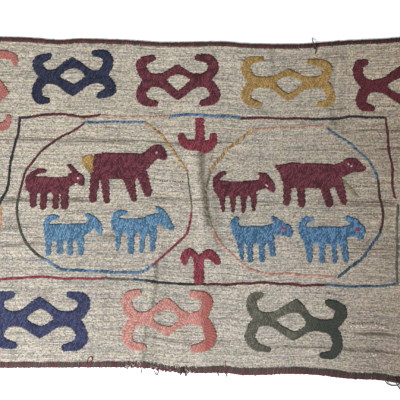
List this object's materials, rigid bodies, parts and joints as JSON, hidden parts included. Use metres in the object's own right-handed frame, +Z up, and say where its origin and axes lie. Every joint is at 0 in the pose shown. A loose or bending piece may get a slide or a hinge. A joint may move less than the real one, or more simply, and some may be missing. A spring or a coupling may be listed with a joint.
{
  "type": "kilim",
  "caption": "Small flat-woven wool kilim lying flat: horned border figures round a framed field of ovals with goats and sheep, and overcast cords along its edges.",
  "frame": {"origin": "under the middle of the mat's bounding box, on the surface that it lies on", "axes": "+X along the mat's length, +Y across it to its far edge, +Z up"},
  "size_m": [1.2202, 0.8222, 0.0099],
  "materials": {
    "ground_wool": "undyed beige and grey-brown wool, weft-faced flat weave with dark streaks",
    "binding_wool": "overcast wool yarn in short groups of madder red and grey-brown",
    "loose_wool": "loose brown and dull red wool yarn",
    "navy_wool": "navy wool yarn in packed slanting stitches",
    "maroon_wool": "maroon wool yarn in packed slanting stitches",
    "gold_wool": "old-gold wool yarn in packed slanting stitches",
    "salmon_wool": "salmon wool yarn in packed slanting stitches",
    "green_wool": "dark green-grey wool yarn in packed slanting stitches",
    "blue_wool": "mid-blue wool yarn in packed slanting stitches",
    "crimson_wool": "crimson wool yarn in packed slanting stitches"
  },
  "bodies": {
    "root": {"ground_cloth": "ground_wool", "far_edge_cord": "binding_wool", "near_edge_cord": "binding_wool", "left_end_cord": "binding_wool", "right_end_cord": "binding_wool", "near_corner_yarn": "loose_wool", "far_edge_tuft": "loose_wool", "near_edge_knot": "loose_wool"}
  },
  "joints": []
}
